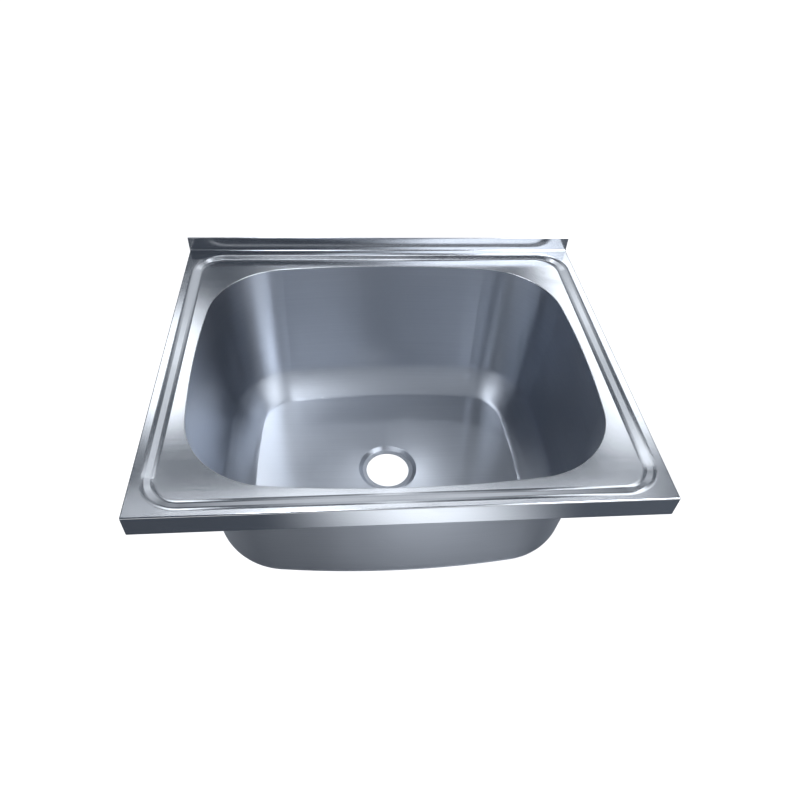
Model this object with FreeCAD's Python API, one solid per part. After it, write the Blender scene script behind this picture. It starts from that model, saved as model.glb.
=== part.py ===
import FreeCAD, Part
import math
import os

# A pressed stainless steel tub sink with one deep bowl, a deck with a pressed step, folded aprons and
# a rear upstand. Underneath it has stiffeners, clip rails, swing clips, sound pads and an earth tag.
# Millimetres, +Z up, front at -Y. The origin is the middle of the plane that the rim sits on.

Vec = FreeCAD.Vector
up = Vec(0, 0, 1)

# Deck, folded from one sheet
sheet = 1.0
deck_width = 600.0
deck_depth = 500.0
apron_height = 30.0
hem_width = 14.0
bend_radius = 1.5
upstand_height = 22.0
upstand_fold_radius = 1.5
side_border = 12.5
front_border = 10.0
rear_border = 11.5
step_run = 11.5
step_drop = 4.0
step_corner_radius = 44.0
step_bend_radius = 16.0
edge_radius_share = 0.85

# Bowl, drawn from a second sheet and welded under the deck
side_strip = 40.0
front_strip = 31.0
rear_strip = 39.0
bowl_corner_radius = 112.0
bowl_side_radius = 1200.0
bowl_end_radius = 1420.0
bowl_depth = 231.0
bowl_draft = math.radians(4.5)
floor_fall = math.radians(1.0)
floor_fillet = 44.0
flange_width = 12.0
flange_fillet = 2.0

# Drain, a bare hole in a round pressed recess
drain_hole_diameter = 66.0
drain_recess_diameter = 90.0
drain_seat_diameter = 79.0
drain_recess_depth = 4.5
drain_edge_radius = 1.2

# Clip rails and stiffeners, welded under the bowl's flange
rail_sheet = 1.2
rail_width = 18.0
rail_height = 11.0
rail_length = 320.0
rail_slot = 7.0
rail_wall_gap = 4.0
stiffener_width = 13.0
stiffener_height = 10.0
stiffener_length = 300.0

# Corner brackets with a screw hole, welded on the hems
bracket_leg = 46.0
bracket_sheet = 1.5
bracket_gap = 2.0
bracket_nose = 10.0
bracket_hole_diameter = 4.5

# Sound pads, glued on the outside of the bowl
pad_thickness = 3.0
pad_height = 100.0
pad_below_rim = 78.0
side_pad_length = 170.0
rear_pad_length = 240.0
floor_pad_width = 240.0
floor_pad_depth = 190.0
floor_pad_corner = 20.0
floor_pad_drain_gap = 8.0

# Swing clips: T-bolt, clamp arm, washer and wing nut
bolt_diameter = 6.0
bolt_length = 56.0
bolt_head_width = 14.0
bolt_head_length = 6.0
bolt_head_height = 3.0
bolt_tip_chamfer = 0.8
clip_spacing = 180.0
arm_below_seat = 22.0
arm_reach = 22.0
arm_width = 14.0
arm_sheet = 2.5
arm_tooth_height = 6.0
arm_hole_clearance = 0.3
washer_diameter = 13.0
washer_thickness = 1.6
washer_hole_clearance = 0.2
nut_hub_diameter = 11.0
nut_hub_height = 7.0
nut_hub_chamfer = 1.0
wing_span = 26.0
wing_thickness = 2.4
wing_height = 9.0
wing_drop = 3.0
wing_tip_radius = 3.0
wing_gap = 7.4
thread_clearance = 0.05
face_clearance = 0.05

# Earth tag with its screw and nut
tag_width = 14.0
tag_sheet = 1.2
tag_drop = 14.0
tag_side_offset = 90.0
tag_corner_radius = 4.0
earth_screw_diameter = 4.0
earth_screw_length = 12.0
earth_head_diameter = 8.0
earth_head_height = 2.6
earth_nut_across_flats = 7.0
earth_nut_height = 3.2
earth_hole_clearance = 0.2

# Cutting tools run past the faces that they cut by this much
overrun = 5.0

# Levels and places that follow from the sizes
seat = 0.0
border_top = seat + apron_height
deck_top = border_top - step_drop
flange_top = deck_top - sheet
flange_bottom = flange_top - sheet
left = -deck_width / 2
right = deck_width / 2
front = -deck_depth / 2
upstand_face = deck_depth / 2
back = upstand_face + 2 * sheet
bowl_half_x = deck_width / 2 - side_strip
bowl_front = front + front_strip
bowl_back = upstand_face - rear_strip
bowl_half_y = (bowl_back - bowl_front) / 2
bowl_y = (bowl_back + bowl_front) / 2
recess_radius = drain_recess_diameter / 2
recess_top = deck_top - bowl_depth
wall_thickness = sheet / math.cos(bowl_draft)
floor_thickness = sheet / math.cos(floor_fall)
rail_x = bowl_half_x + wall_thickness + rail_wall_gap + rail_width / 2
rail_bottom = flange_bottom - rail_height
clip_names = ("front_left", "front_right", "rear_left", "rear_right")


def box(x0, x1, y0, y1, z0, z1):
    """A block between two opposite corners."""
    return Part.makeBox(x1 - x0, y1 - y0, z1 - z0, Vec(x0, y0, z0))


def rod(diameter, x, y, z0, z1):
    """An upright cylinder."""
    return Part.makeCylinder(diameter / 2, z1 - z0, Vec(x, y, z0), up)


def prism(points, travel):
    """A closed outline of points, pushed along travel."""
    return Part.Face(Part.makePolygon(points + points[:1])).extrude(travel)


def arc(start, middle, end):
    return Part.Arc(start, middle, end).toShape()


def line(start, end):
    return Part.LineSegment(start, end).toShape()


def rounded_rectangle(x0, x1, y0, y1, radius, z):
    """A rectangle with four equal corner arcs."""
    inset = radius * (1 - math.sqrt(0.5))
    corners = ((x1, y1, 1, 1), (x0, y1, -1, 1), (x0, y0, -1, -1), (x1, y0, 1, -1))
    arcs = []
    for x, y, sx, sy in corners:
        on_side = Vec(x, y - sy * radius, z)
        on_end = Vec(x - sx * radius, y, z)
        middle = Vec(x - sx * inset, y - sy * inset, z)
        arcs.append((on_side, middle, on_end) if sx == sy else (on_end, middle, on_side))
    edges = []
    for index, (start, middle, end) in enumerate(arcs):
        edges.append(arc(start, middle, end))
        edges.append(line(end, arcs[(index + 1) % len(arcs)][0]))
    return Part.Wire(edges)


def bowl_corner():
    """The centre of the corner arc that touches the bowed side and the bowed end from inside."""
    side = (bowl_half_x - bowl_side_radius, 0)
    end = (0, bowl_half_y - bowl_end_radius)
    side_reach = bowl_side_radius - bowl_corner_radius
    end_reach = bowl_end_radius - bowl_corner_radius
    gap = math.hypot(end[0] - side[0], end[1] - side[1])
    along = (side_reach ** 2 - end_reach ** 2 + gap ** 2) / (2 * gap)
    across = math.sqrt(side_reach ** 2 - along ** 2)
    ux = (end[0] - side[0]) / gap
    uy = (end[1] - side[1]) / gap
    return side[0] + along * ux - across * uy, side[1] + along * uy + across * ux


def bowl_outline(inward, z):
    """The bowl's plan at height z: bowed sides and ends joined by corner arcs, moved inward."""
    cx, cy = bowl_corner()
    side_angle = math.atan2(cy, cx - (bowl_half_x - bowl_side_radius))
    end_angle = math.atan2(cy - (bowl_half_y - bowl_end_radius), cx)
    turn = (side_angle + end_angle) / 2

    def place(centre_x, centre_y, radius, angle):
        reach = radius - inward
        return centre_x + reach * math.cos(angle), centre_y + reach * math.sin(angle)

    side_end = place(bowl_half_x - bowl_side_radius, 0, bowl_side_radius, side_angle)
    corner_middle = place(cx, cy, bowl_corner_radius, turn)
    end_start = place(0, bowl_half_y - bowl_end_radius, bowl_end_radius, end_angle)

    def at(point, sx, sy):
        return Vec(sx * point[0], bowl_y + sy * point[1], z)

    side_middle = (bowl_half_x - inward, 0)
    end_middle = (0, bowl_half_y - inward)
    return Part.Wire([
        arc(at(side_end, 1, -1), at(side_middle, 1, 1), at(side_end, 1, 1)),
        arc(at(side_end, 1, 1), at(corner_middle, 1, 1), at(end_start, 1, 1)),
        arc(at(end_start, 1, 1), at(end_middle, 1, 1), at(end_start, -1, 1)),
        arc(at(end_start, -1, 1), at(corner_middle, -1, 1), at(side_end, -1, 1)),
        arc(at(side_end, -1, 1), at(side_middle, -1, 1), at(side_end, -1, -1)),
        arc(at(side_end, -1, -1), at(corner_middle, -1, -1), at(end_start, -1, -1)),
        arc(at(end_start, -1, -1), at(end_middle, 1, -1), at(end_start, 1, -1)),
        arc(at(end_start, 1, -1), at(corner_middle, 1, -1), at(side_end, 1, -1)),
    ])


def wall_line(grown, z):
    """The tapering wall's inside line at height z, grown outward by a wall thickness."""
    inward = (flange_top - z) * math.tan(bowl_draft) - grown / math.cos(bowl_draft)
    return bowl_outline(inward, z)


def bowl_taper(grown, z0, z1):
    """The tapering inside of the bowl between two heights, grown outward by a wall thickness."""
    return Part.makeLoft([wall_line(grown, z0), wall_line(grown, z1)], True, True)


def edges_along(shape, wire):
    """The level edges of a shape that lie along a level wire."""
    return [edge for edge in shape.Edges
            if edge.BoundBox.ZLength < sheet / 4 and edge.distToShape(wire)[0] < sheet / 4]


def above_floor(lowered):
    """The space over the bowl's floor, a shallow cone that falls to the drain, lowered by a thickness."""
    reach = deck_width
    rim = recess_top + (reach - recess_radius) * math.tan(floor_fall) - lowered / math.cos(floor_fall)
    middle = recess_top - recess_radius * math.tan(floor_fall) - lowered / math.cos(floor_fall)
    outline = [Vec(0, bowl_y, middle), Vec(reach, bowl_y, rim),
               Vec(reach, bowl_y, border_top), Vec(0, bowl_y, border_top)]
    face = Part.Face(Part.makePolygon(outline + outline[:1]))
    return face.revolve(Vec(0, bowl_y, 0), up, 360)


def bowl_space(grown):
    """The bowl's inside with its rounded floor edge, grown outward by a wall thickness."""
    lowest = recess_top - drain_recess_depth - floor_fillet
    space = bowl_taper(grown, flange_top, lowest).common(above_floor(grown))
    floor = min(space.Faces, key=lambda face: face.CenterOfMass.z)
    return space.makeFillet(floor_fillet + grown, floor.OuterWire.Edges)


def make_tray():
    """A flat border over four aprons, each with a hem turned in at its foot."""
    block = box(left, right, front, back, seat, border_top)
    block = block.makeFillet(bend_radius, block.Edges)
    hollow = box(left + sheet, right - sheet, front + sheet, back - sheet, seat + sheet, border_top - sheet)
    hollow = hollow.makeFillet(bend_radius - sheet, hollow.Edges)
    foot = box(left + hem_width, right - hem_width, front + hem_width, back - hem_width,
               seat - overrun, seat + sheet + bend_radius)
    return block.cut(hollow).cut(foot)


def make_upstand():
    """The doubled sheet that stands along the rear edge, with the hollow fold at its foot."""
    wall = box(left, right, upstand_face, back, border_top - bend_radius, border_top + upstand_height)
    lip = [edge for edge in wall.Edges
           if edge.BoundBox.ZMin > border_top and edge.BoundBox.XLength > deck_width / 2]
    wall = wall.makeFillet(sheet * edge_radius_share, lip)
    start = left + bend_radius
    heel = box(start, -start, back - 2 * bend_radius, back, border_top - sheet, border_top)
    inset = upstand_fold_radius * (1 - math.sqrt(0.5))
    low = Vec(start, upstand_face - upstand_fold_radius, border_top)
    middle = Vec(start, upstand_face - inset, border_top + inset)
    high = Vec(start, upstand_face, border_top + upstand_fold_radius)
    root = Vec(start, upstand_face, border_top)
    edges = [arc(low, middle, high), line(high, root), line(root, low)]
    fold = Part.Face(Part.Wire(edges)).extrude(Vec(-2 * start, 0, 0))
    return [wall, heel, fold]


def step_outline(inward, z):
    """The pressed step's line round the deck, moved inward."""
    return rounded_rectangle(left + side_border + inward, right - side_border - inward,
                             front + front_border + inward, upstand_face - rear_border - inward,
                             step_corner_radius - inward, z)


def step_space(lowered):
    """The shallow dish over the inner deck, lowered by a thickness, with a bend at its foot."""
    foot = step_outline(step_run, deck_top - lowered)
    space = Part.makeLoft([step_outline(0, border_top - lowered), foot], True, True)
    return space.makeFillet(step_bend_radius + lowered, edges_along(space, foot))


def make_deck():
    """Border, pressed step, inner deck, aprons with hems and the rear upstand, all one folded sheet."""
    tray = make_tray().fuse(make_upstand()).removeSplitter()
    cover = Part.Face(step_outline(0, border_top - sheet)).extrude(up * sheet)
    pan = step_space(sheet).fuse(cover).cut(step_space(0))
    opening = Part.Face(bowl_outline(0, flange_top - overrun)).extrude(up * (2 * overrun))
    deck = tray.cut(cover).fuse(pan).removeSplitter()
    for lowered in (0, sheet):
        head = step_outline(0, border_top - lowered)
        deck = deck.makeFillet(step_bend_radius + sheet - lowered, edges_along(deck, head))
    deck = deck.cut(opening)
    return deck.makeFillet(sheet * edge_radius_share, edges_along(deck, bowl_outline(0, deck_top)))


def make_bowl():
    """The drawn bowl with its welding flange, rounded floor and drain recess."""
    flange = Part.Face(bowl_outline(-flange_width, flange_bottom)).extrude(up * sheet)
    bowl = bowl_space(sheet).fuse(flange).cut(bowl_space(0))
    bowl = bowl.makeFillet(flange_fillet, edges_along(bowl, wall_line(sheet, flange_bottom)))

    bowl = bowl.cut(rod(drain_recess_diameter, 0, bowl_y,
                        recess_top - floor_fillet, recess_top + floor_fillet))
    seat_radius = drain_seat_diameter / 2
    hole_radius = drain_hole_diameter / 2
    seat_top = recess_top - drain_recess_depth
    profile = [(recess_radius, recess_top), (seat_radius, seat_top), (hole_radius, seat_top),
               (hole_radius, seat_top - sheet), (seat_radius, seat_top - sheet),
               (recess_radius, recess_top - floor_thickness)]
    points = [Vec(radius, bowl_y, z) for radius, z in profile]
    recess = Part.Face(Part.makePolygon(points + points[:1])).revolve(Vec(0, bowl_y, 0), up, 360)
    bowl = bowl.fuse(recess).removeSplitter()
    shoulders = [edge for edge in bowl.Edges
                 if edge.BoundBox.ZLength < sheet / 4 and edge.BoundBox.ZMax < recess_top + sheet / 4
                 and seat_radius - sheet < edge.BoundBox.XMax < recess_radius + sheet]
    return bowl.makeFillet(drain_edge_radius, shoulders)


def make_clip_rail(side):
    """A lipped channel, open below, that holds the heads of two T-bolts."""
    half = rail_width / 2
    wall = half - rail_sheet
    lip = rail_slot / 2
    outline = [(-half, flange_bottom), (half, flange_bottom), (half, rail_bottom), (lip, rail_bottom),
               (lip, rail_bottom + rail_sheet), (wall, rail_bottom + rail_sheet),
               (wall, flange_bottom - rail_sheet), (-wall, flange_bottom - rail_sheet),
               (-wall, rail_bottom + rail_sheet), (-lip, rail_bottom + rail_sheet),
               (-lip, rail_bottom), (-half, rail_bottom)]
    start = bowl_y - rail_length / 2
    points = [Vec(side * rail_x + x, start, z) for x, z in outline]
    return prism(points, Vec(0, rail_length, 0))


def stiffener_inner_y(end):
    """The stiffener's wall that faces the bowl, at the front (-1) or the rear (1)."""
    return bowl_y + end * (bowl_half_y + wall_thickness + rail_wall_gap)


def make_stiffener(end):
    """A plain channel, open below, along the middle of the front or rear strip."""
    inner = stiffener_inner_y(end)
    outer = inner + end * stiffener_width
    low = flange_bottom - stiffener_height
    y0 = min(inner, outer)
    y1 = max(inner, outer)
    block = box(-stiffener_length / 2, stiffener_length / 2, y0, y1, low, flange_bottom)
    groove = box(-stiffener_length / 2 - overrun, stiffener_length / 2 + overrun,
                 y0 + rail_sheet, y1 - rail_sheet, low - overrun, flange_bottom - rail_sheet)
    return block.cut(groove)


def make_corner_bracket(side, end):
    """A clipped triangle lying on two hems, with a hole for a screw down into a cabinet."""
    corner_x = side * (deck_width / 2 - sheet - bracket_gap)
    corner_y = front + sheet + bracket_gap if end < 0 else back - sheet - bracket_gap
    base = seat + sheet
    outline = [(0, 0), (bracket_leg, 0), (bracket_leg, bracket_nose),
               (bracket_nose, bracket_leg), (0, bracket_leg)]
    points = [Vec(corner_x - side * x, corner_y - end * y, base) for x, y in outline]
    plate = prism(points, up * bracket_sheet)
    middle = (hem_width + bracket_leg / 2) / 2
    hole = rod(bracket_hole_diameter, corner_x - side * middle, corner_y - end * middle,
               base - overrun, base + overrun)
    return plate.cut(hole)


def wall_pad_skin():
    """A skin of pad thickness round the outside of the bowl's walls, between the pads' two heights."""
    top = flange_top - pad_below_rim
    bottom = top - pad_height
    return bowl_taper(sheet + pad_thickness, top, bottom).cut(bowl_taper(sheet, top, bottom))


def make_side_pad(side):
    half = side_pad_length / 2
    window = box(min(0, side * deck_width), max(0, side * deck_width), bowl_y - half, bowl_y + half,
                 recess_top, flange_top)
    return wall_pad_skin().common(window)


def make_rear_pad():
    half = rear_pad_length / 2
    window = box(-half, half, bowl_y, bowl_y + deck_depth, recess_top, flange_top)
    return wall_pad_skin().common(window)


def make_floor_pad():
    """A pad under the bowl's floor, with a round hole that clears the drain recess."""
    skin = above_floor(sheet + pad_thickness).cut(above_floor(sheet))
    low = recess_top - floor_fillet
    outline = rounded_rectangle(-floor_pad_width / 2, floor_pad_width / 2, bowl_y - floor_pad_depth / 2,
                                bowl_y + floor_pad_depth / 2, floor_pad_corner, low)
    pad = skin.common(Part.Face(outline).extrude(up * (2 * floor_fillet)))
    hole = rod(drain_recess_diameter + 2 * floor_pad_drain_gap, 0, bowl_y, low, recess_top + floor_fillet)
    return pad.cut(hole)


def clip_place(name):
    """The bolt's axis, and the way along Y in which the stowed arm points: towards the middle."""
    side = -1 if name.endswith("left") else 1
    end = -1 if name.startswith("front") else 1
    return side, end, side * rail_x, bowl_y + end * clip_spacing / 2


def make_t_bolt(name):
    side, end, x, y = clip_place(name)
    shoulder = rail_bottom + rail_sheet + face_clearance
    head = box(x - bolt_head_width / 2, x + bolt_head_width / 2,
               y - bolt_head_length / 2, y + bolt_head_length / 2, shoulder, shoulder + bolt_head_height)
    shank = rod(bolt_diameter, x, y, shoulder - bolt_length, shoulder)
    tip = [edge for edge in shank.Edges if edge.BoundBox.ZMax < shoulder - bolt_length / 2]
    return head.fuse(shank.makeChamfer(bolt_tip_chamfer, tip)).removeSplitter()


def make_clamp_arm(name):
    """A flat arm, round at the bolt, with a tooth turned up at its tip to bite under a cabinet's edge."""
    side, end, x, y = clip_place(name)
    top = seat - arm_below_seat
    tip = y - end * arm_reach
    arm = rod(arm_width, x, y, top - arm_sheet, top)
    x0 = x - arm_width / 2
    x1 = x + arm_width / 2
    arm = arm.fuse(box(x0, x1, min(y, tip), max(y, tip), top - arm_sheet, top))
    heel = tip + end * arm_sheet
    tooth = box(x0, x1, min(tip, heel), max(tip, heel), top, top + arm_tooth_height)
    hole = rod(bolt_diameter + 2 * arm_hole_clearance, x, y, top - arm_sheet - overrun, top + overrun)
    return arm.fuse(tooth).cut(hole).removeSplitter()


def washer_top():
    return seat - arm_below_seat - arm_sheet - face_clearance


def make_washer(name):
    side, end, x, y = clip_place(name)
    top = washer_top()
    ring = rod(washer_diameter, x, y, top - washer_thickness, top)
    return ring.cut(rod(bolt_diameter + 2 * washer_hole_clearance, x, y, top - overrun, top + overrun))


def make_wing_nut(name):
    """A round hub with two rounded wings, threaded on the bolt below the washer."""
    side, end, x, y = clip_place(name)
    top = washer_top() - washer_thickness - face_clearance
    hub = rod(nut_hub_diameter, x, y, top - nut_hub_height, top)
    rims = [edge for edge in hub.Edges if edge.BoundBox.ZMax < top - nut_hub_height / 2]
    hub = hub.makeChamfer(nut_hub_chamfer, rims)
    wing_top = top - wing_drop
    wings = box(x - wing_thickness / 2, x + wing_thickness / 2, y - wing_span / 2, y + wing_span / 2,
                wing_top - wing_height, wing_top)
    corners = [edge for edge in wings.Edges if edge.BoundBox.XLength > wing_thickness / 2]
    wings = wings.makeFillet(wing_tip_radius, corners)
    gap = box(x - wing_thickness, x + wing_thickness, y - wing_gap / 2, y + wing_gap / 2,
              top - nut_hub_height - wing_height, top - nut_hub_height + nut_hub_chamfer)
    bore = rod(bolt_diameter + 2 * thread_clearance, x, y,
               wing_top - wing_height - overrun, top + overrun)
    return hub.fuse(wings.cut(gap)).cut(bore).removeSplitter()


def tag_place():
    """The tag's face on the rear stiffener and the axis of its hole."""
    face = stiffener_inner_y(1) + stiffener_width
    low = flange_bottom - stiffener_height
    return tag_side_offset, face, low - tag_drop / 2


def make_earth_tag():
    x, face, hole_z = tag_place()
    low = flange_bottom - stiffener_height - tag_drop
    tag = box(x - tag_width / 2, x + tag_width / 2, face, face + tag_sheet, low, flange_bottom)
    corners = [edge for edge in tag.Edges
               if edge.BoundBox.YLength > tag_sheet / 2 and edge.BoundBox.ZMax < flange_bottom - tag_drop]
    tag = tag.makeFillet(tag_corner_radius, corners)
    reach = tag_sheet + 2 * overrun
    hole = Part.makeCylinder(earth_screw_diameter / 2 + earth_hole_clearance, reach,
                             Vec(x, face - overrun, hole_z), Vec(0, 1, 0))
    return tag.cut(hole)


def make_earth_screw():
    x, face, hole_z = tag_place()
    seat_y = face + tag_sheet
    shank = Part.makeCylinder(earth_screw_diameter / 2, earth_screw_length,
                              Vec(x, seat_y - earth_screw_length, hole_z), Vec(0, 1, 0))
    head = Part.makeCylinder(earth_head_diameter / 2, earth_head_height,
                             Vec(x, seat_y, hole_z), Vec(0, 1, 0))
    crown = [edge for edge in head.Edges if edge.BoundBox.YMin > seat_y + earth_head_height / 2]
    head = head.makeFillet(earth_head_height / 2, crown)
    slot_width = earth_head_height / 2
    slot = box(x - earth_head_diameter, x + earth_head_diameter, seat_y + earth_head_height / 2,
               seat_y + 2 * earth_head_height, hole_z - slot_width / 2, hole_z + slot_width / 2)
    return shank.fuse(head).cut(slot).removeSplitter()


def make_earth_nut():
    x, face, hole_z = tag_place()
    corner = earth_nut_across_flats / math.sqrt(3)
    points = []
    for index in range(6):
        angle = math.radians(60 * index)
        points.append(Vec(x + corner * math.cos(angle), face - earth_nut_height,
                          hole_z + corner * math.sin(angle)))
    nut = prism(points, Vec(0, earth_nut_height, 0))
    bore = Part.makeCylinder(earth_screw_diameter / 2 + thread_clearance, earth_nut_height + 2 * overrun,
                             Vec(x, face - earth_nut_height - overrun, hole_z), Vec(0, 1, 0))
    return nut.cut(bore)


def make_nodes():
    nodes = {
        "deck": make_deck(),
        "bowl": make_bowl(),
        "left_clip_rail": make_clip_rail(-1),
        "right_clip_rail": make_clip_rail(1),
        "front_stiffener": make_stiffener(-1),
        "rear_stiffener": make_stiffener(1),
        "left_sound_pad": make_side_pad(-1),
        "right_sound_pad": make_side_pad(1),
        "rear_sound_pad": make_rear_pad(),
        "floor_sound_pad": make_floor_pad(),
        "earth_tag": make_earth_tag(),
        "earth_screw": make_earth_screw(),
        "earth_nut": make_earth_nut(),
    }
    for name in clip_names:
        side = clip_place(name)[0]
        end = clip_place(name)[1]
        nodes[name + "_corner_bracket"] = make_corner_bracket(side, end)
        nodes[name + "_t_bolt"] = make_t_bolt(name)
        nodes[name + "_clamp_arm"] = make_clamp_arm(name)
        nodes[name + "_washer"] = make_washer(name)
        nodes[name + "_wing_nut"] = make_wing_nut(name)
    return nodes


os.makedirs("parts", exist_ok=True)
for node, shape in make_nodes().items():
    solid = shape.Solids[0] if len(shape.Solids) == 1 else shape
    state = "valid" if solid.isValid() else "not valid"
    print(node, state, len(shape.Solids), "solid", round(solid.Volume, 1), "mm3")
    solid.exportStep("parts/" + node + ".step")
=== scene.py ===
# %% [markdown]
# # A pressed stainless steel sink
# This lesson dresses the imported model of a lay-on sink: one folded deck, one deep drawn bowl, and under them
# the rails, swing clips, brackets and pads that hold it to a cabinet and keep it quiet.
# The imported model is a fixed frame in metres, so every new piece is made where its solid already is.

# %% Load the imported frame
import math

import bpy
from mathutils import Matrix, Vector


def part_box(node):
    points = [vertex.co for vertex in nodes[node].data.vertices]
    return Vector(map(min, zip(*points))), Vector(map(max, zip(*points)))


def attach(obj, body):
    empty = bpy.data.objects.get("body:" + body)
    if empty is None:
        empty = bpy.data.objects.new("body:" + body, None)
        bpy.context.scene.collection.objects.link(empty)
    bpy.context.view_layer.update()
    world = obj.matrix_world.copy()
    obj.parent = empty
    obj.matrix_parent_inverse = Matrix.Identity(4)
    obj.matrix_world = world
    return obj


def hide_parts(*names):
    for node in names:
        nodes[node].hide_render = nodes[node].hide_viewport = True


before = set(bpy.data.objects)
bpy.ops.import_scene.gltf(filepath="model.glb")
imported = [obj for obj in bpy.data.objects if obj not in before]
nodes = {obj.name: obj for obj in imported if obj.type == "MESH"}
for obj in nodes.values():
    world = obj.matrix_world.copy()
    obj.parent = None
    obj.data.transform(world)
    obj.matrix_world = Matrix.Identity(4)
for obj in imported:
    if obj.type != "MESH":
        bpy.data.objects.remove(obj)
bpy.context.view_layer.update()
bpy.ops.object.select_all(action="DESELECT")

# %% [markdown]
# ## Camera
# The sink is seen from the front, a little left of its middle and from well above, so that the whole bowl shows.
# The turn of the camera is written as yaw, pitch and roll, because those are what a person holding it would change.
# The lens is given in pixels for a picture 800 pixels wide, and is turned into millimetres on a 36 mm sensor.

# %% Camera
scene = bpy.context.scene
picture_width = 800
focal_pixels = 655.92
camera_place = Vector((-0.07182, -0.65572, 0.60193))
yaw, pitch, roll = 0.12792, 0.78462, 0.06974


def camera_turn(yaw, pitch, roll):
    """The camera's axes: ahead along yaw and pitch, then rolled about that line."""
    ahead = Vector((math.sin(yaw) * math.cos(pitch), math.cos(yaw) * math.cos(pitch), -math.sin(pitch)))
    level = Vector((math.cos(yaw), -math.sin(yaw), 0))
    above = level.cross(ahead)
    right = math.cos(roll) * level + math.sin(roll) * above
    up = -math.sin(roll) * level + math.cos(roll) * above
    return Matrix((right, up, -ahead)).transposed()


camera_data = bpy.data.cameras.new("camera")
camera_data.sensor_width = 36
camera_data.lens = focal_pixels / picture_width * camera_data.sensor_width
camera = bpy.data.objects.new("camera", camera_data)
camera.matrix_world = Matrix.Translation(camera_place) @ camera_turn(yaw, pitch, roll).to_4x4()
scene.collection.objects.link(camera)
scene.camera = camera
scene.view_settings.view_transform = "Standard"
print("lens:", round(camera_data.lens, 2), "mm")

# %% [markdown]
# ## A helper for shader nodes
# Floor and finishes are all built from shader nodes. One short function adds a node, sets its options and fills
# its sockets, either with a value or with another node's output, so that a finish reads like a list.

# %% A helper for shader nodes
def add(tree, kind, options=None, **inputs):
    """Adds a shader node. An input named i0, i1 ... is a socket by number, any other is one by name."""
    made = tree.nodes.new("ShaderNode" + kind)
    for option, value in (options or {}).items():
        setattr(made, option, value)
    for name, value in inputs.items():
        by_number = name[0] == "i" and name[1:].isdigit()
        socket = made.inputs[int(name[1:]) if by_number else name.replace("_", " ")]
        if isinstance(value, bpy.types.NodeSocket):
            tree.links.new(value, socket)
        else:
            socket.default_value = value
    return made


def new_material(name):
    """A material with its Principled shader."""
    material = bpy.data.materials.new(name)
    material.use_nodes = True
    return material, material.node_tree, material.node_tree.nodes["Principled BSDF"]


# %% [markdown]
# ## Studio
# Polished steel has hardly any colour of its own: it shows what stands round it. So the studio is built first.
# The floor lies far below the sink, as under a piece that hangs in a white cove, and it looks plain white to the
# camera and to the steel. Emission that is seen only by camera, glossy and transmission rays does that, while the
# pale paint under it still takes light and shadow like any floor. The sky is white at the horizon, so that it meets
# the floor without an edge, and fades to a dark studio ceiling a little way up.

# %% Floor
floor_level, floor_radius = -2.4, 30
floor_tone, floor_roughness = (0.8, 0.8, 0.8, 1), 0.9
bpy.ops.mesh.primitive_circle_add(vertices=64, radius=floor_radius, fill_type="NGON",
                                  location=(0, 0, floor_level))
floor = bpy.context.object
floor.name = "studio_floor"
floor_paint, tree, paint = new_material("pale_floor")
paint.inputs["Base Color"].default_value = floor_tone
paint.inputs["Roughness"].default_value = floor_roughness
rays = add(tree, "LightPath")
seen = add(tree, "Math", {"operation": "MAXIMUM"}, i0=rays.outputs["Is Camera Ray"],
           i1=rays.outputs["Is Glossy Ray"])
seen = add(tree, "Math", {"operation": "MAXIMUM"}, i0=seen.outputs[0], i1=rays.outputs["Is Transmission Ray"])
glow = add(tree, "Emission", Strength=seen.outputs[0])
both = add(tree, "AddShader", i0=paint.outputs[0], i1=glow.outputs[0])
tree.links.new(both.outputs[0], tree.nodes["Material Output"].inputs["Surface"])
floor.data.materials.append(floor_paint)
bpy.ops.object.select_all(action="DESELECT")
print("floor:", floor.name, "at", floor_level, "m")

# %% Sky
horizon_tone, ceiling_tone = (1, 1, 1, 1), (0.085, 0.098, 0.12, 1)
fade_start, fade_end = -0.05, 0.25
world = bpy.data.worlds.new("studio")
world.use_nodes = True
tree = world.node_tree
sky = tree.nodes["Background"]
height = add(tree, "SeparateXYZ", Vector=add(tree, "TexCoord").outputs["Generated"]).outputs["Z"]
above = add(tree, "MapRange", {"interpolation_type": "SMOOTHSTEP"}, Value=height,
            From_Min=fade_start, From_Max=fade_end)
fade = add(tree, "Mix", {"data_type": "RGBA"}, i0=above.outputs[0], i6=horizon_tone, i7=ceiling_tone)
tree.links.new(fade.outputs[2], sky.inputs["Color"])
scene.world = world
print("sky:", world.name)

# %% [markdown]
# ## Softboxes
# A photographer lights steel with large soft lamps and leaves the room dark, because each bright or dark patch on
# the steel is the picture of a lamp or of the gap between two. A real softbox is brightest in its middle, so each
# area lamp here fades towards its edges: Geometry's Parametric output runs from 0 to 1 across the lamp, and two
# smooth ramps made from it are multiplied. A lamp's brightness is what a mirror would show, where 1 is white.

# %% Softbox
lamp_colour = (0.94, 0.97, 1.0)
soft_share = 0.35
hair = 0.0001


def aim(place, target):
    """Turns local Z away from a target, so that a lamp's light and a panel's face point at it."""
    away = Vector(place) - Vector(target)
    return Matrix.Translation(Vector(place)) @ away.to_track_quat("Z", "Y").to_matrix().to_4x4()


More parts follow.
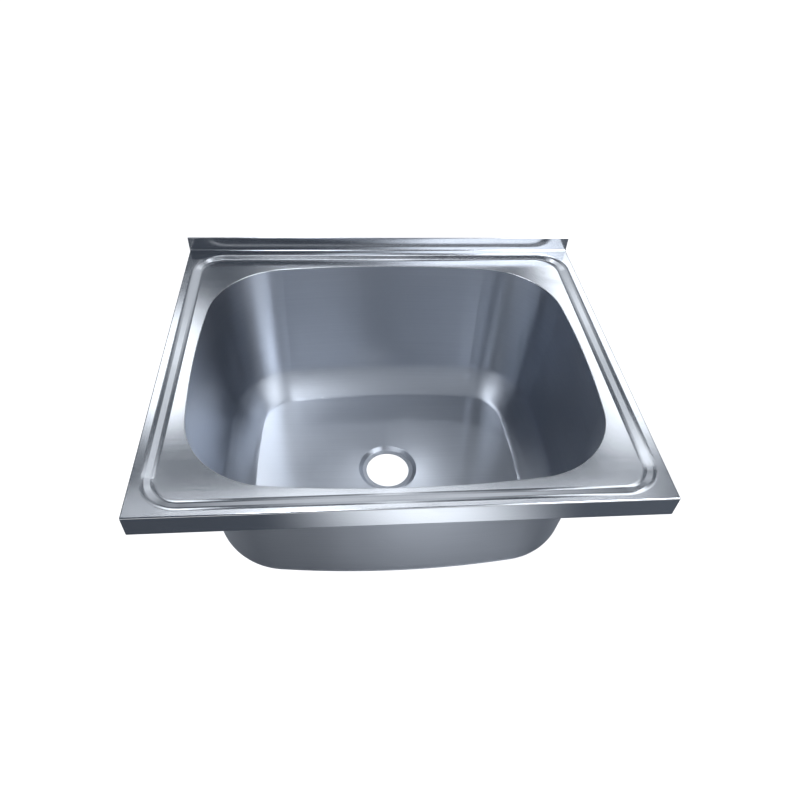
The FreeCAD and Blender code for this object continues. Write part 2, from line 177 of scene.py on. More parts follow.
def softbox(name, place, target, width, height, brightness, fade_x=soft_share, fade_y=soft_share):
    """A soft rectangular lamp that fades at its edges, over a share of its width and of its height."""
    lamp = bpy.data.lights.new(name, "AREA")
    lamp.shape = "RECTANGLE"
    lamp.size, lamp.size_y = width, height
    lamp.energy = brightness * math.pi * width * height
    lamp.color = lamp_colour
    lamp.use_nodes = True
    tree = lamp.node_tree
    across = add(tree, "SeparateXYZ", Vector=add(tree, "NewGeometry").outputs["Parametric"])
    ramps = []
    for side, share in (("X", fade_x), ("Y", fade_y)):
        off = add(tree, "Math", {"operation": "SUBTRACT"}, i0=across.outputs[side], i1=0.5)
        off = add(tree, "Math", {"operation": "ABSOLUTE"}, i0=off.outputs[0])
        ramps.append(add(tree, "MapRange", {"interpolation_type": "SMOOTHSTEP"}, Value=off.outputs[0],
                         From_Min=0.5, From_Max=0.5 - share).outputs[0])
    fade = add(tree, "Math", {"operation": "MULTIPLY"}, i0=ramps[0], i1=ramps[1])
    tree.links.new(fade.outputs[0], tree.nodes["Emission"].inputs["Strength"])
    box = bpy.data.objects.new(name, lamp)
    box.matrix_world = aim(place, target)
    box.visible_camera = False
    scene.collection.objects.link(box)


def hung(name, place, width, length, brightness, fade_x=soft_share, fade_y=soft_share):
    """A softbox that hangs level and faces down, tipped by a hair so that its length runs along Y."""
    x, y, z = place
    softbox(name, place, (x, y + hair, z - 1), width, length, brightness, fade_x, fade_y)


# %% [markdown]
# ## Lamps for the deck
# The deck is a flat mirror, so the place of each lamp follows from the law of reflection: the line from the camera
# to the deck goes on upwards to the rear, and where it meets the lamp's height, the lamp is seen. Two bars behind
# the sink whiten its side borders, two thin ones its front edge, and a lamp in front reaches the rear strip
# through the upstand. The pressed step leans inwards and bends at its corners, so it sees a narrow panel over the
# middle, a wide card for the corners and a low card behind.

# %% Lamps for the deck
lamp_height, thin_bar_height = 1.3, 2.0
front_step, rear_edge = (0, -0.235, 0.03), (0.1, 0.25, 0.04)
hung("left_bar", (-0.76, 1.42, lamp_height), 0.4, 1.0, 3.0)
hung("right_bar", (1.08, 1.60, lamp_height), 0.45, 1.7, 2.6, fade_y=0.2)
hung("front_border_bar", (0.1, 1.17, thin_bar_height), 3.2, 0.10, 3.8, fade_x=0.15)
hung("front_strip_bar", (0.1, 1.26, thin_bar_height), 1.4, 0.12, 2.0)
hung("step_panel", (0.135, 1.2, lamp_height), 0.22, 1.16, 1.0, fade_y=0.24)
softbox("corner_card", (0.15, 2.0, lamp_height), front_step, 1.6, 1.3, 0.65, fade_y=0.25)
softbox("rear_card", (0.2, 2.6, 0.8), front_step, 3.4, 0.6, 0.8)
softbox("front_fill", (0.6, -1.3, 1.07), rear_edge, 1.2, 0.6, 3.2)
print("lamps for the deck:", [lamp.name for lamp in bpy.data.lights])

# %% [markdown]
# ## Lamps for the bowl and the apron
# The bowl is brushed, so it smears lamps into streaks and only needs a few. One over the left half lights the
# floor, one along the middle the floor's rear edge, and a large one on the right the left fillet and the streak in
# the rear left corner. A low one in front on the right adds a little light from that side. A dark flag under the
# sink keeps the apron and the bowl's outside dark, as they are over a cabinet, and a small card in front of it draws
# the pale patch on the apron.

# %% Lamps for the bowl and the apron
bowl_rear_wall, apron_middle = (-0.2, 0.3, -0.1), (0.02, -0.25, 0.015)
hung("floor_panel", (-0.22, 0.22, lamp_height), 0.4, 0.8, 16)
hung("middle_bar", (0.0, -0.8, lamp_height), 0.3, 1.6, 2.0)
hung("right_panel", (0.8, -0.45, lamp_height), 0.8, 1.8, 11)
softbox("front_right", (1.2, -1.3, 0.6), bowl_rear_wall, 0.5, 0.9, 1.5)
softbox("apron_card", (0.05, -0.43, -0.22), apron_middle, 0.5, 0.2, 1.7, fade_x=0.5, fade_y=0.5)
print("lamps:", len(bpy.data.lights))

# %% Flag under the sink
flag_place, flag_width, flag_depth = (0.1, -0.35, -0.7), 2.6, 1.9
flag_tone = (0.14, 0.155, 0.18, 1)
bpy.ops.mesh.primitive_plane_add(size=1)
flag = bpy.context.object
flag.name = "under_flag"
flag.matrix_world = Matrix.Translation(flag_place) @ Matrix.Diagonal((flag_width, flag_depth, 1, 1))
flag.visible_camera = False
cloth, tree, shader = new_material("flag_cloth")
shader.inputs["Base Color"].default_value = flag_tone
shader.inputs["Roughness"].default_value = 1
flag.data.materials.append(cloth)
bpy.ops.object.select_all(action="DESELECT")
print("flag:", flag.name)

# %% [markdown]
# ## What the finishes share
# Sheet steel is brushed, so it has fine lines in one direction. All metal that has been handled has smears and a
# few dried drops. Plated metal has grown crystals. Each of these is a node group, built once, which puts out plain
# values between 0 and 1, and each finish uses them at its own size and strength.

# %% Tools for node groups
def new_group(name, inputs, outputs):
    """An empty shader node group with named sockets."""
    group = bpy.data.node_groups.new(name, "ShaderNodeTree")
    for label, kind in inputs:
        group.interface.new_socket(label, in_out="INPUT", socket_type=kind)
    for label in outputs:
        group.interface.new_socket(label, in_out="OUTPUT", socket_type="NodeSocketFloat")
    return group, group.nodes.new("NodeGroupInput"), group.nodes.new("NodeGroupOutput")


def spread(tree, value, low, high):
    """Stretches the part of a value between low and high to the range from 0 to 1, softly."""
    return add(tree, "MapRange", {"interpolation_type": "SMOOTHSTEP"}, Value=value,
               From_Min=low, From_Max=high).outputs[0]


where = [("Vector", "NodeSocketVector")]
sized = where + [("Scale", "NodeSocketFloat")]

# %% Brushed lines
brushed_lines, start, end = new_group("brushed_lines", where, ["Lines"])
fine = add(brushed_lines, "TexNoise", Vector=start.outputs["Vector"], Scale=1.0, Detail=4.0, Roughness=0.65)
brushed_lines.links.new(spread(brushed_lines, fine.outputs["Fac"], 0.3, 0.7), end.inputs["Lines"])

# %% Smears and dried drops
drops_per_cloud = 8.0
handling_marks, start, end = new_group("handling_marks", sized, ["Smears", "Drops"])
cloud = add(handling_marks, "TexNoise", Vector=start.outputs["Vector"], Scale=start.outputs["Scale"],
            Detail=4.0, Roughness=0.55, Distortion=1.2)
handling_marks.links.new(spread(handling_marks, cloud.outputs["Fac"], 0.45, 0.75), end.inputs["Smears"])
more = add(handling_marks, "Math", {"operation": "MULTIPLY"}, i0=start.outputs["Scale"], i1=drops_per_cloud)
cells = add(handling_marks, "TexVoronoi", Vector=start.outputs["Vector"], Scale=more.outputs[0])
outer = spread(handling_marks, cells.outputs["Distance"], 0.24, 0.20)
inner = spread(handling_marks, cells.outputs["Distance"], 0.12, 0.19)
ring = add(handling_marks, "Math", {"operation": "MULTIPLY"}, i0=outer, i1=inner)
few = add(handling_marks, "SeparateColor", Color=cells.outputs["Color"])
few = spread(handling_marks, few.outputs["Red"], 0.96, 0.98)
drops = add(handling_marks, "Math", {"operation": "MULTIPLY"}, i0=ring.outputs[0], i1=few)
handling_marks.links.new(drops.outputs[0], end.inputs["Drops"])

# %% Plated crystals
plated_crystals, start, end = new_group("plated_crystals", sized, ["Tone", "Seams"])
cells = add(plated_crystals, "TexVoronoi", Vector=start.outputs["Vector"], Scale=start.outputs["Scale"])
tone = add(plated_crystals, "SeparateColor", Color=cells.outputs["Color"])
plated_crystals.links.new(tone.outputs["Red"], end.inputs["Tone"])
seams = add(plated_crystals, "TexVoronoi", {"feature": "DISTANCE_TO_EDGE"}, Vector=start.outputs["Vector"],
            Scale=start.outputs["Scale"])
plated_crystals.links.new(spread(plated_crystals, seams.outputs["Distance"], 0.08, 0.0), end.inputs["Seams"])
print("groups:", [group.name for group in bpy.data.node_groups])

# %% Ways to use the groups
def group_node(tree, group, **inputs):
    """Adds a node group, and fills its sockets with values or with other nodes' outputs."""
    made = add(tree, "Group", {"node_tree": group})
    for name, value in inputs.items():
        if isinstance(value, bpy.types.NodeSocket):
            tree.links.new(value, made.inputs[name])
        else:
            made.inputs[name].default_value = value
    return made


def between(tree, mask, low, high):
    """A number that goes from low to high with a mask."""
    return add(tree, "MapRange", Value=mask, To_Min=low, To_Max=high).outputs[0]


def mixed(tree, mask, first, second):
    """A colour that goes from the first to the second with a mask."""
    mix = add(tree, "Mix", {"data_type": "RGBA"}, i0=mask)
    for socket, colour in ((mix.inputs[6], first), (mix.inputs[7], second)):
        if isinstance(colour, bpy.types.NodeSocket):
            tree.links.new(colour, socket)
        else:
            socket.default_value = (*colour, 1)
    return mix.outputs[2]


def total(tree, *values):
    """The sum of several values."""
    result = values[0]
    for value in values[1:]:
        result = add(tree, "Math", {"operation": "ADD"}, i0=result, i1=value).outputs[0]
    return result


def stretched(tree, scale):
    """Object coordinates, stretched by a scale along each axis."""
    place = add(tree, "TexCoord").outputs["Object"]
    return add(tree, "Mapping", Vector=place, Scale=scale).outputs[0]


def relief(tree, shader, height, depth, strength):
    """Fine relief from a height between 0 and 1."""
    bump = add(tree, "Bump", Height=height, Distance=depth, Strength=strength)
    tree.links.new(bump.outputs[0], shader.inputs["Normal"])


finishes = {}
as_it_is = (1, 1, 1)
grain_along, grain_across = 5, 1100
grain_depth = 0.00002

# %% [markdown]
# ## Deck steel
# The deck is satin polished along its length and then buffed, so it is nearly a mirror with a faint grain.
# The grain is a noise that is stretched along X, and along Y on the side aprons, where the normal tells which is
# which. It shifts the colour a little and the gloss a little more, and buffing has left hardly any relief.

# %% Deck steel
finishes["stainless_deck"], tree, shader = new_material("stainless_deck")
along = group_node(tree, brushed_lines,
                   Vector=stretched(tree, (grain_along, grain_across, grain_across))).outputs["Lines"]
across = group_node(tree, brushed_lines,
                    Vector=stretched(tree, (grain_across, grain_along, grain_across))).outputs["Lines"]
facing = add(tree, "SeparateXYZ", Vector=add(tree, "TexCoord").outputs["Normal"]).outputs["X"]
side = spread(tree, add(tree, "Math", {"operation": "ABSOLUTE"}, i0=facing).outputs[0], 0.6, 0.9)
lines = add(tree, "Mix", {"data_type": "FLOAT"}, i0=side, i2=along, i3=across).outputs[0]
marks = group_node(tree, handling_marks, Vector=stretched(tree, as_it_is), Scale=9.0)
shader.inputs["Metallic"].default_value = 1
tree.links.new(mixed(tree, lines, (0.58, 0.60, 0.635), (0.62, 0.64, 0.675)), shader.inputs["Base Color"])
gloss = total(tree, between(tree, lines, 0.14, 0.17), between(tree, marks.outputs["Smears"], 0.0, 0.04),
              between(tree, marks.outputs["Drops"], 0.0, 0.06))
tree.links.new(gloss, shader.inputs["Roughness"])
relief(tree, shader, lines, grain_depth, 0.04)
print("deck steel:", len(tree.nodes), "nodes")

# %% [markdown]
# ## Bowl steel
# The bowl is brushed round its walls, so a lamp is smeared up and down them into long upright streaks.
# The shader's anisotropy does that, along its Tangent input. One direction is enough for the whole bowl: straight
# up with a slight lean to the rear. The shader lays it flat on each face, so the smear runs up the walls, and
# from front to rear on the floor. The grain lines run across it: level on the walls, and along X on the floor.
# The rounded foot of the walls is harder to reach with a belt and stays duller, so the normal masks it too. Its
# colour is darker than the deck's steel: that is painted shade, the dim look of the deep bowl, under the grain's two
# tones.

# %% Bowl steel
finishes["stainless_bowl"], tree, shader = new_material("stainless_bowl")
on_wall = group_node(tree, brushed_lines,
                     Vector=stretched(tree, (grain_along, grain_along, grain_across))).outputs["Lines"]
on_floor = group_node(tree, brushed_lines,
                      Vector=stretched(tree, (grain_along, grain_across, grain_along))).outputs["Lines"]
facing = add(tree, "SeparateXYZ", Vector=add(tree, "TexCoord").outputs["Normal"]).outputs["Z"]
upward = add(tree, "Math", {"operation": "ABSOLUTE"}, i0=facing).outputs[0]
flat = spread(tree, upward, 0.6, 0.9)
lines = add(tree, "Mix", {"data_type": "FLOAT"}, i0=flat, i2=on_wall, i3=on_floor).outputs[0]
marks = group_node(tree, handling_marks, Vector=stretched(tree, as_it_is), Scale=8.0)
shader.inputs["Metallic"].default_value = 1
shader.inputs["Anisotropic"].default_value = 1.0
tree.links.new(add(tree, "CombineXYZ", X=0.0, Y=0.05, Z=1.0).outputs[0], shader.inputs["Tangent"])
# Painted shade: the bowl's colour is set darker than the deck's so that the deep bowl looks dimmer, and the grain
# shifts it a little.
tree.links.new(mixed(tree, lines, (0.475, 0.505, 0.56), (0.515, 0.545, 0.60)), shader.inputs["Base Color"])
off_wall = spread(tree, upward, 0.15, 0.4)
off_floor = spread(tree, upward, 1.0, 0.985)
foot = add(tree, "Math", {"operation": "MULTIPLY"}, i0=off_wall, i1=off_floor).outputs[0]
gloss = total(tree, between(tree, lines, 0.28, 0.31), between(tree, foot, 0.0, 0.15),
              between(tree, marks.outputs["Smears"], 0.0, 0.03), between(tree, marks.outputs["Drops"], 0.0, 0.03))
tree.links.new(gloss, shader.inputs["Roughness"])
relief(tree, shader, lines, grain_depth, 0.15)
print("bowl steel:", len(tree.nodes), "nodes")

# %% [markdown]
# ## Zinc, brass and bitumen
# The channels are cut from galvanised strip with its frosted crystals, and the small fasteners are plated, with
# far finer crystals and a faint yellow or blue cast. The earth screw is turned brass, a little tarnished.
# The pads are black felt with pale mineral specks.

# %% Zinc and brass
stain_share = 0.8


def plated(slot, dark, pale, crystal, rough):
    """A plated metal with crystals of a given count per metre, and gloss between two roughnesses."""
    finishes[slot], tree, shader = new_material(slot)
    place = stretched(tree, as_it_is)
    grain = group_node(tree, plated_crystals, Vector=place, Scale=crystal)
    marks = group_node(tree, handling_marks, Vector=place, Scale=40.0)
    shader.inputs["Metallic"].default_value = 1
    tone = mixed(tree, grain.outputs["Tone"], dark, pale)
    stained = [stain_share * value for value in dark]
    tree.links.new(mixed(tree, marks.outputs["Smears"], tone, stained), shader.inputs["Base Color"])
    gloss = total(tree, between(tree, grain.outputs["Tone"], *rough),
                  between(tree, marks.outputs["Smears"], 0.0, 0.1))
    tree.links.new(gloss, shader.inputs["Roughness"])
    relief(tree, shader, grain.outputs["Seams"], 0.00003, 0.2)
    print(slot, len(tree.nodes), "nodes")


plated("galvanised_channel", (0.50, 0.52, 0.53), (0.66, 0.68, 0.69), 160.0, (0.34, 0.50))
plated("zinc_fastener", (0.64, 0.655, 0.67), (0.74, 0.75, 0.76), 900.0, (0.24, 0.34))
plated("zinc_arm", (0.60, 0.60, 0.56), (0.70, 0.70, 0.67), 700.0, (0.28, 0.40))
plated("brass_screw", (0.66, 0.50, 0.24), (0.76, 0.60, 0.31), 1200.0, (0.20, 0.30))

# %% Bitumen felt
finishes["bitumen_pad"], tree, shader = new_material("bitumen_pad")
place = stretched(tree, as_it_is)
pebbles = group_node(tree, plated_crystals, Vector=place, Scale=900.0)
marks = group_node(tree, handling_marks, Vector=place, Scale=25.0)
specks = spread(tree, pebbles.outputs["Tone"], 0.95, 0.98)
felt = mixed(tree, marks.outputs["Smears"], (0.075, 0.075, 0.082), (0.115, 0.113, 0.115))
tree.links.new(mixed(tree, specks, felt, (0.19, 0.19, 0.195)), shader.inputs["Base Color"])
tree.links.new(between(tree, pebbles.outputs["Tone"], 0.62, 0.86), shader.inputs["Roughness"])
relief(tree, shader, pebbles.outputs["Seams"], 0.0003, 0.6)
print("felt:", len(tree.nodes), "nodes")

# %% Finishes on the solids that stay
for node, slot in (("deck", "stainless_deck"), ("bowl", "stainless_bowl"),
                   ("earth_screw", "brass_screw"), ("earth_nut", "brass_screw")):
    for holder in nodes[node].material_slots:
        holder.material = finishes[slot]
print("finishes:", sorted(finishes))

# %% [markdown]
# ## Tools for making pieces
# Each hidden piece below starts as a primitive and is shaped in edit mode, as it would be by hand.
# Faces, edges and points are picked in code by where they are or which way they face.
# When a piece is done, its place goes into its mesh, and it is told which body of the model it rides on.

# %% Picking parts of a piece
def ready(piece):
    """Makes one object the only one selected, and active."""
    bpy.ops.object.select_all(action="DESELECT")
    piece.select_set(True)
    bpy.context.view_layer.objects.active = piece


def pick(piece, kind, test):
    """Goes to edit mode with those faces, edges or points selected whose middle and direction pass a test."""
    ready(piece)
    bpy.ops.object.mode_set(mode="EDIT")
    bpy.ops.mesh.select_mode(type=kind)
    bpy.ops.mesh.select_all(action="DESELECT")
    bpy.ops.object.mode_set(mode="OBJECT")
    mesh = piece.data
    if kind == "FACE":
        for face in mesh.polygons:
            face.select = test(face.center, face.normal)
    elif kind == "EDGE":
        for edge in mesh.edges:
            start, end = (mesh.vertices[index].co for index in edge.vertices)
            edge.select = test((start + end) / 2, (end - start).normalized())
    else:
        for point in mesh.vertices:
            point.select = test(point.co, point.normal)
    bpy.ops.object.mode_set(mode="EDIT")


def done():
    """Leaves edit mode."""
    bpy.ops.object.mode_set(mode="OBJECT")


# %% Making and changing a piece
merge_distance = 1e-6


def apply_modifier(piece, kind, **settings):
    """Adds a modifier with these settings and applies it."""
    ready(piece)
    modifier = piece.modifiers.new(kind.lower(), kind)
    for name, value in settings.items():
        setattr(modifier, name, value)
    bpy.ops.object.modifier_apply(modifier=modifier.name)


def place_in_mesh(piece):
    """Moves a piece's place, turn and scale into its mesh."""
    ready(piece)
    bpy.ops.object.transform_apply(location=True, rotation=True, scale=True)


def primitive(kind, stretch=(1, 1, 1), **settings):
    """Adds a primitive, alone in the selection, stretched along its axes, with its place in its mesh."""
    bpy.ops.object.select_all(action="DESELECT")
    getattr(bpy.ops.mesh, "primitive_" + kind + "_add")(**settings)
    piece = bpy.context.object
    piece.scale = stretch
    place_in_mesh(piece)
    return piece


def own_copy(piece, shift):
    """A copy with its own mesh, moved by a shift that goes into that mesh."""
    ready(piece)
    bpy.ops.object.duplicate()
    copy = bpy.context.object
    copy.location = shift
    place_in_mesh(copy)
    return copy


def join(first, *others):
    """Joins pieces into the first."""
    ready(first)
    for other in others:
        other.select_set(True)
    bpy.ops.object.join()
    return first


# %% Finishing a piece
smooth_angle = math.radians(35)
clips = ("front_left", "front_right", "rear_left", "rear_right")


def settle(piece, name, body, slot, *stands_for):
    """Names a finished piece, gives it its finish and lets it ride on a body, in place of its CAD nodes."""
    ready(piece)
    bpy.ops.object.shade_smooth_by_angle(angle=smooth_angle)
    piece.name = piece.data.name = name
    piece.data.materials.clear()
    piece.data.materials.append(finishes[slot])
    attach(piece, body)
    if stands_for:
        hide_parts(*stands_for)
    print(name, len(piece.data.polygons), "faces on", body)

# %% [markdown]
# ## T-bolts
# Four M6 bolts hang from the rails by flat heads and carry the clamps. Their thread is what one sees of them.
# A thread could be a bump in the finish, but its teeth show in outline against the light.
# So one pitch of its profile is bent from a plane and the Screw modifier winds it up the shank.
# One bolt is made on the Z axis and copied to the four clips.

# %% Thread of the T-bolt
thread_pitch = 0.001
crest, root = 0.003, 0.00246
crest_share, tip_share, tip_turn_share = 0.2, 0.82, 0.8
touch = 1e-5
head_height, head_edge = 0.003, 0.0005
bolt_low, bolt_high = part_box("front_left_t_bolt")
head_size = (bolt_high.x - bolt_low.x, bolt_high.y - bolt_low.y, head_height)
shoulder = bolt_high.z - head_size[2]
bolt = primitive("plane", (crest - root, thread_pitch, 1), size=1, rotation=(math.pi / 2, 0, 0),
                 location=((crest + root) / 2, 0, bolt_low.z + thread_pitch / 2))
pick(bolt, "EDGE", lambda middle, way: middle.x < root + touch)
bpy.ops.mesh.delete(type="EDGE")
done()
pick(bolt, "EDGE", lambda middle, way: middle.x > crest - touch)
bpy.ops.transform.resize(value=(1, 1, crest_share))
done()
turns = int((shoulder - bolt_low.z) / thread_pitch)
apply_modifier(bolt, "SCREW", axis="Z", angle=2 * math.pi, screw_offset=thread_pitch, iterations=turns,
               steps=20, render_steps=20, use_merge_vertices=True, merge_threshold=merge_distance)
pick(bolt, "VERT", lambda place, normal: True)
bpy.ops.mesh.remove_doubles(threshold=merge_distance)
bpy.ops.mesh.fill_holes(sides=0)
bpy.ops.mesh.normals_make_consistent(inside=False)
done()
pick(bolt, "VERT", lambda place, normal: place.z < bolt_low.z + tip_turn_share * thread_pitch)
bpy.ops.transform.resize(value=(tip_share, tip_share, 1), center_override=(0, 0, bolt_low.z))
done()
print("thread:", turns, "turns")

# %% Head of the T-bolt
bolt_head = primitive("cube", head_size, size=1, location=(0, 0, shoulder + head_size[2] / 2))
pick(bolt_head, "EDGE", lambda middle, way: True)
bpy.ops.mesh.bevel(offset=head_edge, segments=2)
done()
join(bolt, bolt_head)
for clip in clips:
    low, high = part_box(clip + "_t_bolt")
    copy = own_copy(bolt, ((low.x + high.x) / 2, (low.y + high.y) / 2, 0))
    settle(copy, clip + "_threaded_bolt", clip + "_bolt_body", "zinc_fastener", clip + "_t_bolt")
bpy.data.objects.remove(bolt)

# %% [markdown]
# ## Wing nuts
# The nuts are turned by hand, so their ears are rounded, thin at the tips and thick at the hub.
# The hub is a cylinder with its bore bridged through. Each ear is a block that tapers to a rounded tip and starts
# inside the hub, clear of the bore. Booleans make them one casting with soft edges.

# %% Hub of the wing nut
nut_low, nut_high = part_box("front_left_wing_nut")
hub_radius, hub_height, bore_radius, hub_edge = 0.0055, 0.007, 0.00305, 0.0009
nut = primitive("cylinder", vertices=40, radius=hub_radius, depth=hub_height,
                location=(0, 0, nut_high.z - hub_height / 2))
pick(nut, "FACE", lambda middle, normal: abs(normal.z) > 0.9)
bpy.ops.mesh.inset(thickness=hub_radius - bore_radius)
bpy.ops.mesh.bridge_edge_loops()
done()
pick(nut, "EDGE", lambda middle, way: abs(way.z) < 0.5 and middle.xy.length > 0.9 * hub_radius)
bpy.ops.mesh.bevel(offset=hub_edge, segments=3)
done()
print("hub:", len(nut.data.polygons), "faces")

# %% Ears of the wing nut
ear_drop, ear_root, ear_thickness = 0.003, 0.0037, 0.0024
ear_tip_radius, ear_edge, near_tip = 0.0032, 0.0005, 1e-4
tip_thickness_share, tip_height_share = 0.62, 0.86
ear_span, ear_top = (nut_high.y - nut_low.y) / 2, nut_high.z - ear_drop
ears = []
for side in (-1, 1):
    ear = primitive("cube", (ear_thickness, ear_span - ear_root, ear_top - nut_low.z), size=1,
                    location=(0, side * (ear_span + ear_root) / 2, (ear_top + nut_low.z) / 2))
    pick(ear, "FACE", lambda middle, normal: side * normal.y > 0.9)
    bpy.ops.transform.resize(value=(tip_thickness_share, 1, tip_height_share), center_override=(0, 0, nut_low.z))
    done()
    pick(ear, "EDGE", lambda middle, way: abs(way.x) > 0.9 and side * middle.y > ear_span - near_tip)
    bpy.ops.mesh.bevel(offset=ear_tip_radius, segments=6)
    done()
    pick(ear, "EDGE", lambda middle, way: abs(way.x) < 0.5)
    bpy.ops.mesh.bevel(offset=ear_edge, segments=2)
    done()
    ears.append(ear)
for ear in ears:
    apply_modifier(nut, "BOOLEAN", operation="UNION", object=ear, solver="EXACT")
    bpy.data.objects.remove(ear)
for clip in clips:
    low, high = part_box(clip + "_wing_nut")
    copy = own_copy(nut, ((low.x + high.x) / 2, (low.y + high.y) / 2, 0))
    settle(copy, clip + "_cast_wing_nut", clip + "_nut_body", "zinc_fastener", clip + "_wing_nut")
bpy.data.objects.remove(nut)

# %% [markdown]
# ## Pressed and folded steel pieces
# Rails, stiffeners, brackets, clamp arms, washers and the earth tag are cut and folded from sheet.
# Their solids have the right shape but knife-sharp edges, and real sheet edges catch a thin line of light.
# So each is copied, its triangles are merged back into flat faces, and a Bevel eases every edge.

# %% A copy with eased edges
flat_angle, sharp_angle = math.radians(1), math.radians(40)


def eased_copy(node, width):
    """A copy of a CAD node with merged faces and eased edges."""
    ready(nodes[node])
    bpy.ops.object.duplicate()
    copy = bpy.context.object
    copy.parent = None
    bpy.ops.mesh.customdata_custom_splitnormals_clear()
    bpy.ops.object.mode_set(mode="EDIT")
    bpy.ops.mesh.select_all(action="SELECT")
    bpy.ops.mesh.remove_doubles(threshold=merge_distance)
    bpy.ops.mesh.dissolve_limited(angle_limit=flat_angle)
    done()
    apply_modifier(copy, "BEVEL", width=width, segments=2, limit_method="ANGLE", angle_limit=sharp_angle)
    for key in list(copy.keys()):
        del copy[key]
    return copy


# %% Pressed and folded steel pieces
channel_edge, tag_edge, bracket_edge, arm_edge, washer_edge = 0.0004, 0.0002, 0.0003, 0.0005, 0.0003
for node in ("left_clip_rail", "right_clip_rail", "front_stiffener", "rear_stiffener"):
    settle(eased_copy(node, channel_edge), node + "_folded", "sink", "galvanised_channel", node)
settle(eased_copy("earth_tag", tag_edge), "earth_tag_pressed", "sink", "galvanised_channel", "earth_tag")
for clip in clips:
    settle(eased_copy(clip + "_corner_bracket", bracket_edge), clip + "_corner_bracket_pressed", "sink",
           "galvanised_channel", clip + "_corner_bracket")
    settle(eased_copy(clip + "_clamp_arm", arm_edge), clip + "_clamp_arm_pressed", clip + "_arm_body",
           "zinc_arm", clip + "_clamp_arm")
    settle(eased_copy(clip + "_washer", washer_edge), clip + "_washer_pressed", clip + "_lift_body",
           "zinc_fastener", clip + "_washer")

# %% [markdown]
# ## Sound pads
# Slabs of bitumen felt are glued on the outside of the bowl, so that water drums on it less. They are soft:
# they follow the bowl's bowed walls, their faces are rolled with a waffle pattern and their edges are cut by hand.
# A grid is laid beside the bowl, shrink-wrapped on it and given its thickness. Then each square of the outer
# face is inset and raised on its own, which is how the rolled pattern looks.

# %% Sound pad tools
pad_gap = 0.00004
pad_body, pad_relief, groove = 0.0024, 0.0005, 0.0009
outward_share = 0.7


def wrapped_slab(size, cells, place, turn, axis, away):
    """A slab of felt: a grid projected on the bowl along an axis, thickened outward, with raised squares."""
    slab = primitive("grid", (size[0], size[1], 1), x_subdivisions=cells[0], y_subdivisions=cells[1], size=1,
                     location=place, rotation=turn)
    apply_modifier(slab, "SHRINKWRAP", target=nodes["bowl"], wrap_method="PROJECT", offset=pad_gap,
                   **{"use_project_" + axis: True, "use_positive_direction": True,
                      "use_negative_direction": True})
    pick(slab, "FACE", lambda middle, normal: True)
    if slab.data.polygons[0].normal.dot(away) < 0:
        bpy.ops.mesh.flip_normals()
    done()
    apply_modifier(slab, "SOLIDIFY", thickness=pad_body, offset=1)
    pick(slab, "FACE", lambda middle, normal: normal.dot(away) > outward_share)
    bpy.ops.mesh.inset(thickness=groove, depth=pad_relief, use_individual=True)
    done()
    print("slab:", cells[0] * cells[1], "squares")
    return slab


# %% Wall pads
side_squares, rear_squares = (13, 22), (31, 13)
beside_bowl, behind_bowl = 0.29, 0.24
for side, name in ((-1, "left_sound_pad"), (1, "right_sound_pad")):
    low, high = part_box(name)
    middle = (low + high) / 2
    pad = wrapped_slab((high.z - low.z, high.y - low.y), side_squares, (side * beside_bowl, middle.y, middle.z),
                       (0, math.pi / 2, 0), "x", Vector((side, 0, 0)))
    settle(pad, name + "_felt", "sink", "bitumen_pad", name)
low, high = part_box("rear_sound_pad")
middle = (low + high) / 2
pad = wrapped_slab((high.x - low.x, high.z - low.z), rear_squares, (middle.x, behind_bowl, middle.z),
                   (math.pi / 2, 0, 0), "y", Vector((0, 1, 0)))
settle(pad, "rear_sound_pad_felt", "sink", "bitumen_pad", "rear_sound_pad")

# %% [markdown]
# The pad under the floor has rounded corners and a round hole for the drain, cut with a punch and a knife.
# Two Booleans do the same here: they cut straight through the waffle pattern, as the real tools do.

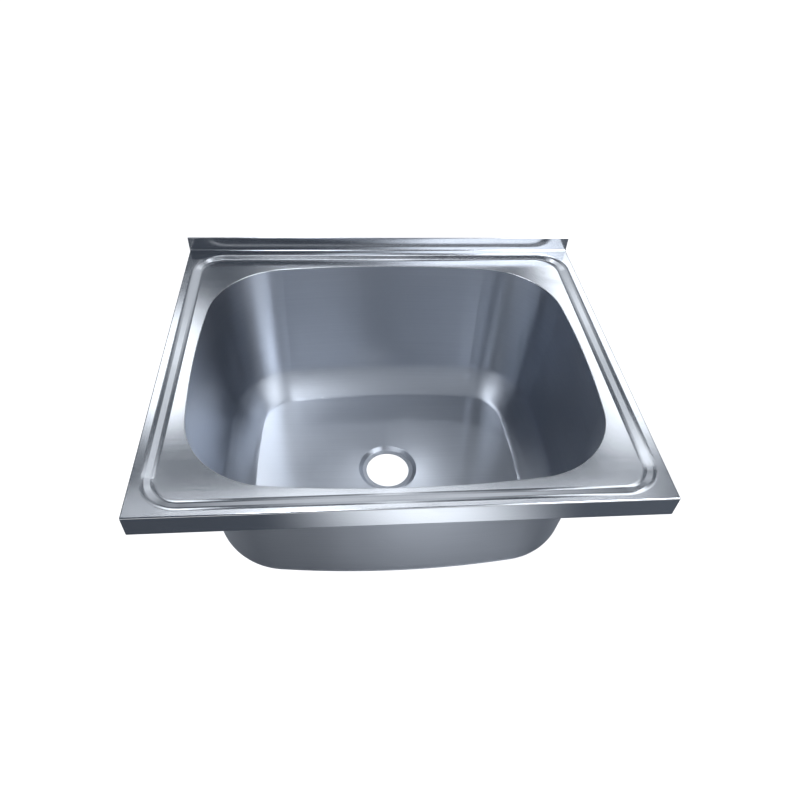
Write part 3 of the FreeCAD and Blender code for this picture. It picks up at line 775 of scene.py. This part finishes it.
# %% Floor pad
low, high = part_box("floor_sound_pad")
middle = (low + high) / 2
floor_squares, below_bowl = (30, 24), 0.05
drain_clearance, pad_corner = 0.053, 0.020
cutter_depth, trim = 0.1, 2e-5
pad = wrapped_slab((high.x - low.x, high.y - low.y), floor_squares, (middle.x, middle.y, low.z - below_bowl),
                   (0, 0, 0), "z", Vector((0, 0, -1)))
punch = primitive("cylinder", vertices=72, radius=drain_clearance, depth=cutter_depth, location=middle)
blank = primitive("cube", (high.x - low.x - trim, high.y - low.y - trim, cutter_depth), size=1, location=middle)
pick(blank, "EDGE", lambda place, way: abs(way.z) > 0.9)
bpy.ops.mesh.bevel(offset=pad_corner, segments=8)
done()
apply_modifier(pad, "BOOLEAN", operation="DIFFERENCE", object=punch, solver="EXACT")
apply_modifier(pad, "BOOLEAN", operation="INTERSECT", object=blank, solver="EXACT")
bpy.data.objects.remove(punch)
bpy.data.objects.remove(blank)
settle(pad, "floor_sound_pad_felt", "sink", "bitumen_pad", "floor_sound_pad")

# %% [markdown]
# ## Weld beads
# Short fillet welds hold the rails and stiffeners under the bowl's flange. A bead is a row of small overlapping
# drops, so one flattened sphere is arrayed into a bead, and beads are copied along each channel.

# %% One weld bead
drop_radius, drop_step, drops = 0.0016, 0.0017, 7
drop_flatness = (0.8, 1, 0.8)
bead = primitive("uv_sphere", segments=12, ring_count=8, radius=drop_radius)
pick(bead, "VERT", lambda place, normal: True)
bpy.ops.transform.resize(value=drop_flatness)
done()
apply_modifier(bead, "ARRAY", count=drops, use_relative_offset=False, use_constant_offset=True,
               constant_offset_displace=(0, drop_step, 0))
pick(bead, "VERT", lambda place, normal: True)
bpy.ops.transform.translate(value=(0, -drop_step * (drops - 1) / 2, 0))
done()
print("bead:", drops, "drops")

# %% Weld beads
bead_drop = 0.0006
for node, beads in (("left_clip_rail", 5), ("right_clip_rail", 5), ("front_stiffener", 4), ("rear_stiffener", 4)):
    low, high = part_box(node)
    bead_level = high.z - bead_drop
    along_y = high.y - low.y > high.x - low.x
    row = []
    for index in range(beads):
        share = (index + 0.5) / beads
        for edge in (0, 1):
            if along_y:
                copy = own_copy(bead, ((low.x, high.x)[edge], low.y + share * (high.y - low.y), bead_level))
            else:
                copy = own_copy(bead, (0, 0, 0))
                pick(copy, "VERT", lambda place, normal: True)
                bpy.ops.transform.rotate(value=math.pi / 2, orient_axis="Z", center_override=(0, 0, 0))
                bpy.ops.transform.translate(value=(low.x + share * (high.x - low.x), (low.y, high.y)[edge],
                                                   bead_level))
                done()
            row.append(copy)
    # The welds take the bowl's steel, with its darker colour of painted shade.
    settle(join(*row), node + "_welds", "sink", "stainless_bowl")
bpy.data.objects.remove(bead)
